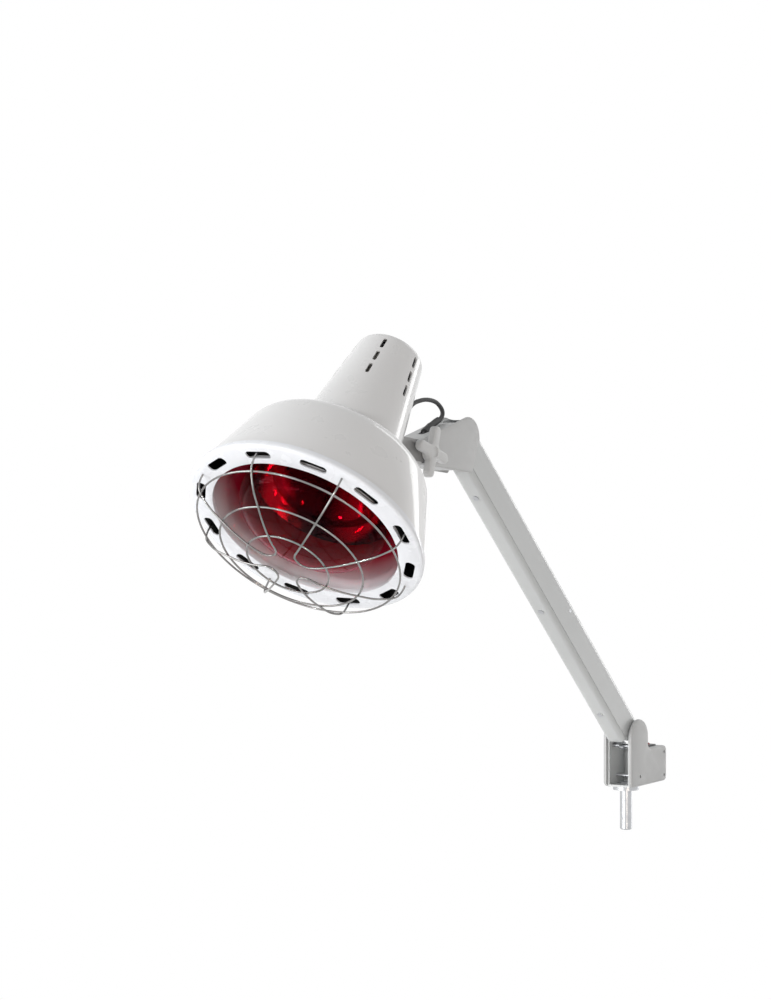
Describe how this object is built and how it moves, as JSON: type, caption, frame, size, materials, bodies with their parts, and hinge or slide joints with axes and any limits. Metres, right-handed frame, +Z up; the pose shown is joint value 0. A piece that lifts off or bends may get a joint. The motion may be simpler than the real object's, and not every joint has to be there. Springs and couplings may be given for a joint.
{
  "type": "infrared heat therapy lamp",
  "caption": "Infrared heat lamp: vented bell shade with ruby bulb and wire guard, tilting on a balanced parallelogram arm with a spigot base and rocker switch.",
  "frame": {"origin": "centre of the spigot at its shoulder's seat face", "axes": "+Z up along the spigot, the arm leans toward -Y, +X is the side of the tilt knob"},
  "size_m": [0.2, 0.7141, 0.4683],
  "materials": {
    "white_paint": "gloss",
    "ring_paint": "gloss",
    "enamel": "gloss",
    "guard_steel": "bright drawn wire",
    "ruby_glass": "gloss",
    "clear_glass": "gloss",
    "tungsten": "satin",
    "cap_metal": "satin",
    "ceramic": "glazed ceramic",
    "brass": "satin",
    "zinc_steel": "zinc plated",
    "grey_paint": "satin",
    "grey_plastic": "satin",
    "rubber": "matt",
    "lead_sheath": "matt",
    "fibre": "matt",
    "nylon": "satin",
    "black_plastic": "satin",
    "red_plastic": "gloss"
  },
  "bodies": {
    "base": {"base_frame": "zinc_steel", "base_spigot": "zinc_steel", "arm_base_pin": "zinc_steel", "tie_base_pin": "zinc_steel", "spring_base_pin": "zinc_steel", "base_cover_left": "grey_plastic", "base_cover_right": "grey_plastic", "base_screws": "zinc_steel", "switch_frame": "black_plastic", "terminal_block": "nylon", "cord_gland": "black_plastic"},
    "rocker": {"switch_rocker": "red_plastic"},
    "arm": {"arm_channel": "grey_paint", "arm_cover": "grey_paint", "cover_screws": "zinc_steel", "arm_bushes": "nylon", "spring_anchor": "zinc_steel", "balance_springs": "zinc_steel", "arm_lead": "lead_sheath"},
    "tie": {"tie_rod": "zinc_steel"},
    "knuckle": {"knuckle_frame": "zinc_steel", "knuckle_cover": "grey_plastic", "lead_bush": "rubber", "arm_top_pin": "zinc_steel", "tie_top_pin": "zinc_steel", "head_lead": "lead_sheath"},
    "head": {"shade_bell": "white_paint", "shade_neck": "white_paint", "vent_ring": "ring_paint", "reflector": "enamel", "wire_guard": "guard_steel", "bulb_glass": "ruby_glass", "bulb_stem": "clear_glass", "bulb_filament": "tungsten", "bulb_cap": "cap_metal", "lamp_socket": "ceramic", "socket_shell": "brass", "socket_contact": "cap_metal", "socket_bracket": "zinc_steel", "socket_screws": "zinc_steel", "neck_grommet": "rubber", "head_bracket": "grey_paint", "bracket_screws": "zinc_steel", "tilt_bolt": "zinc_steel", "friction_washers": "fibre"},
    "knob": {"tilt_knob": "grey_plastic", "knob_insert": "brass"}
  },
  "joints": [
    {"name": "arm_tilt", "type": "hinge", "parent": "base", "child": "arm", "pos_m": [0, 0, 0.052], "axis": [1, 0, 0], "range_deg": [-32, 32], "deforming": ["balance_springs"]},
    {"name": "tie_swing", "type": "hinge", "parent": "base", "child": "tie", "pos_m": [0, -0.00665, 0.04453], "axis": [1, 0, 0], "range_deg": [-32, 32]},
    {"name": "knuckle_level", "type": "hinge", "parent": "arm", "child": "knuckle", "pos_m": [0, -0.32852, 0.3447], "axis": [1, 0, 0], "range_deg": [-32, 32]},
    {"name": "head_tilt", "type": "hinge", "parent": "knuckle", "child": "head", "pos_m": [0, -0.40352, 0.3312], "axis": [1, 0, 0], "range_deg": [-50, 60], "deforming": ["head_lead"]},
    {"name": "knob_turn", "type": "hinge", "parent": "head", "child": "knob", "pos_m": [0.021, -0.40352, 0.3312], "axis": [1, 0, 0], "continuous": true},
    {"name": "rocker_press", "type": "hinge", "parent": "base", "child": "rocker", "pos_m": [0, 0.0383, 0.038], "axis": [1, 0, 0], "range_deg": [-14, 0]}
  ],
  "couplings": [
    {"joint": "tie_swing", "follows": "arm_tilt", "ratio": 1},
    {"joint": "knuckle_level", "follows": "arm_tilt", "ratio": -1}
  ]
}
